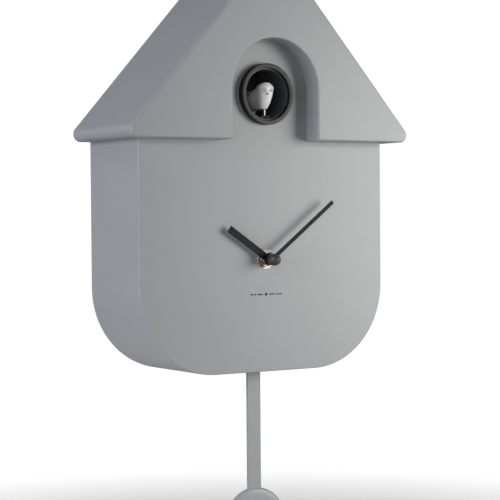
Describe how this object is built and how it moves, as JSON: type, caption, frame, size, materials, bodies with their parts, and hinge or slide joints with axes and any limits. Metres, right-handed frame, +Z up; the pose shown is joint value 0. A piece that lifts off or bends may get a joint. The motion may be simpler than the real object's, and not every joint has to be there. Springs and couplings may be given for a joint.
{
  "type": "cuckoo clock",
  "caption": "House-shaped wall cuckoo clock with a gabled roof, a round bird window, two hands and a pendulum.",
  "frame": {"origin": "on the wall plane, straight behind the arbor that carries the hands", "axes": "+X to the viewer's right, +Y into the wall along the arbor, +Z up"},
  "size_m": [0.215, 0.0796, 0.4048],
  "materials": {
    "grey_abs": "satin moulded ABS, mid grey",
    "cover_abs": "fine-textured moulded ABS, mid grey",
    "dark_abs": "satin moulded ABS, charcoal",
    "black_abs": "moulded ABS, black",
    "hand_paint": "matt charcoal paint on sheet aluminium",
    "bird_white": "glossy white ABS",
    "zinc_steel": "bright zinc plate",
    "brass": "turned, bright",
    "natural_plastic": "moulded acetal, natural",
    "copper_winding": "enamelled copper wire",
    "rubber": "black",
    "circuit_board": "solder-masked glass-fibre board",
    "component_black": "moulded epoxy",
    "ferrite": "sintered ferrite",
    "paper_cone": "pressed paper",
    "cell_jacket": "plain shrink sleeve",
    "sensor_lens": "clear epoxy lens"
  },
  "bodies": {
    "case": {"front_case": "grey_abs", "roof_shell": "grey_abs", "back_cover": "cover_abs", "back_cover_screws": "zinc_steel", "roof_screws": "zinc_steel", "window_bezel": "dark_abs", "bird_tunnel": "black_abs", "tunnel_screws": "zinc_steel", "mechanism_frame": "black_abs", "mechanism_screws": "zinc_steel", "cuckoo_motor": "zinc_steel", "movement_case": "black_abs", "movement_cover": "natural_plastic", "train_plate": "natural_plastic", "dial_gasket": "rubber", "arbor_bushing": "brass", "dial_washer": "zinc_steel", "dial_nut": "brass", "stepper_coil": "copper_winding", "stepper_stator": "zinc_steel", "movement_circuit": "circuit_board", "quartz_crystal": "zinc_steel", "pendulum_bracket": "black_abs", "bracket_screws": "zinc_steel", "pendulum_pin": "zinc_steel", "pendulum_coil": "copper_winding", "sound_board": "circuit_board", "board_components": "component_black", "speaker_basket": "black_abs", "speaker_cone": "paper_cone", "speaker_magnet": "ferrite", "battery_tray": "black_abs", "battery_cells": "cell_jacket", "battery_contacts": "zinc_steel", "switch_board": "circuit_board", "volume_switch": "black_abs", "button_switch": "black_abs", "light_sensor": "sensor_lens"},
    "minute_arbor": {"minute_shaft": "natural_plastic", "minute_hand": "hand_paint", "hand_cap": "dark_abs"},
    "hour_arbor": {"hour_wheel": "natural_plastic", "hour_hand": "hand_paint"},
    "motion_wheel": {"minute_wheel": "natural_plastic"},
    "setting_arbor": {"setting_knob": "black_abs"},
    "third_arbor": {"third_wheel": "natural_plastic"},
    "second_arbor": {"second_wheel": "natural_plastic"},
    "rotor": {"stepper_rotor": "ferrite"},
    "pendulum": {"pendulum_hanger": "natural_plastic", "pendulum_magnet": "ferrite", "pendulum_rod": "grey_abs", "pendulum_bob": "grey_abs"},
    "bird": {"bird_body": "bird_white", "bird_pegs": "zinc_steel", "bird_carriage": "black_abs"},
    "drive_arbor": {"drive_gear": "natural_plastic"},
    "motor_arbor": {"motor_pinion": "natural_plastic"},
    "door": {"battery_door": "cover_abs"},
    "volume_knob": {"volume_slider": "black_abs"},
    "hour_set_button": {"set_button": "black_abs"}
  },
  "joints": [
    {"name": "minute_turn", "type": "hinge", "parent": "case", "child": "minute_arbor", "pos_m": [0, -0.055, 0], "axis": [0, 1, 0], "continuous": true},
    {"name": "hour_turn", "type": "hinge", "parent": "case", "child": "hour_arbor", "pos_m": [0, -0.059, 0], "axis": [0, 1, 0], "continuous": true},
    {"name": "motion_wheel_turn", "type": "hinge", "parent": "case", "child": "motion_wheel", "pos_m": [0, -0.055, -0.0084], "axis": [0, 1, 0], "continuous": true},
    {"name": "setting_knob_turn", "type": "hinge", "parent": "case", "child": "setting_arbor", "pos_m": [0, -0.03, -0.0175], "axis": [0, 1, 0], "continuous": true},
    {"name": "third_wheel_turn", "type": "hinge", "parent": "case", "child": "third_arbor", "pos_m": [-0.00686, -0.052, 0.00396], "axis": [0, 1, 0], "continuous": true},
    {"name": "second_wheel_turn", "type": "hinge", "parent": "case", "child": "second_arbor", "pos_m": [-0.01245, -0.05, 0.00719], "axis": [0, 1, 0], "continuous": true},
    {"name": "rotor_turn", "type": "hinge", "parent": "case", "child": "rotor", "pos_m": [-0.0135, -0.056, -0.0125], "axis": [0, 1, 0], "continuous": true},
    {"name": "pendulum_swing", "type": "hinge", "parent": "case", "child": "pendulum", "pos_m": [0, -0.05, -0.034], "axis": [0, 1, 0], "range_deg": [-5, 5]},
    {"name": "bird_slide", "type": "slide", "parent": "case", "child": "bird", "axis": [0, -1, 0], "range_m": [0, 0.02]},
    {"name": "drive_gear_turn", "type": "hinge", "parent": "case", "child": "drive_arbor", "pos_m": [0, -0.032, 0.08955], "axis": [1, 0, 0], "range_deg": [0, 330]},
    {"name": "motor_turn", "type": "hinge", "parent": "case", "child": "motor_arbor", "pos_m": [0, -0.032, 0.07955], "axis": [1, 0, 0], "range_deg": [-990, 0]},
    {"name": "battery_door_hinge", "type": "hinge", "parent": "case", "child": "door", "pos_m": [-0.054, -0.0012, 0.0312], "axis": [1, 0, 0], "range_deg": [0, 95]},
    {"name": "volume_slide", "type": "slide", "parent": "case", "child": "volume_knob", "axis": [1, 0, 0], "range_m": [0, 0.005]},
    {"name": "button_press", "type": "slide", "parent": "case", "child": "hour_set_button", "axis": [0, -1, 0], "range_m": [0, 0.001], "stiffness_N_per_m": 150}
  ],
  "couplings": [
    {"joint": "hour_turn", "follows": "minute_turn", "ratio": 0.083333},
    {"joint": "motion_wheel_turn", "follows": "minute_turn", "ratio": -0.33333},
    {"joint": "setting_knob_turn", "follows": "minute_turn", "ratio": 0.75},
    {"joint": "third_wheel_turn", "follows": "minute_turn", "ratio": -8},
    {"joint": "second_wheel_turn", "follows": "minute_turn", "ratio": 60},
    {"joint": "drive_gear_turn", "follows": "bird_slide", "rad_per_m": 285.71},
    {"joint": "motor_turn", "follows": "bird_slide", "rad_per_m": -857.14}
  ]
}
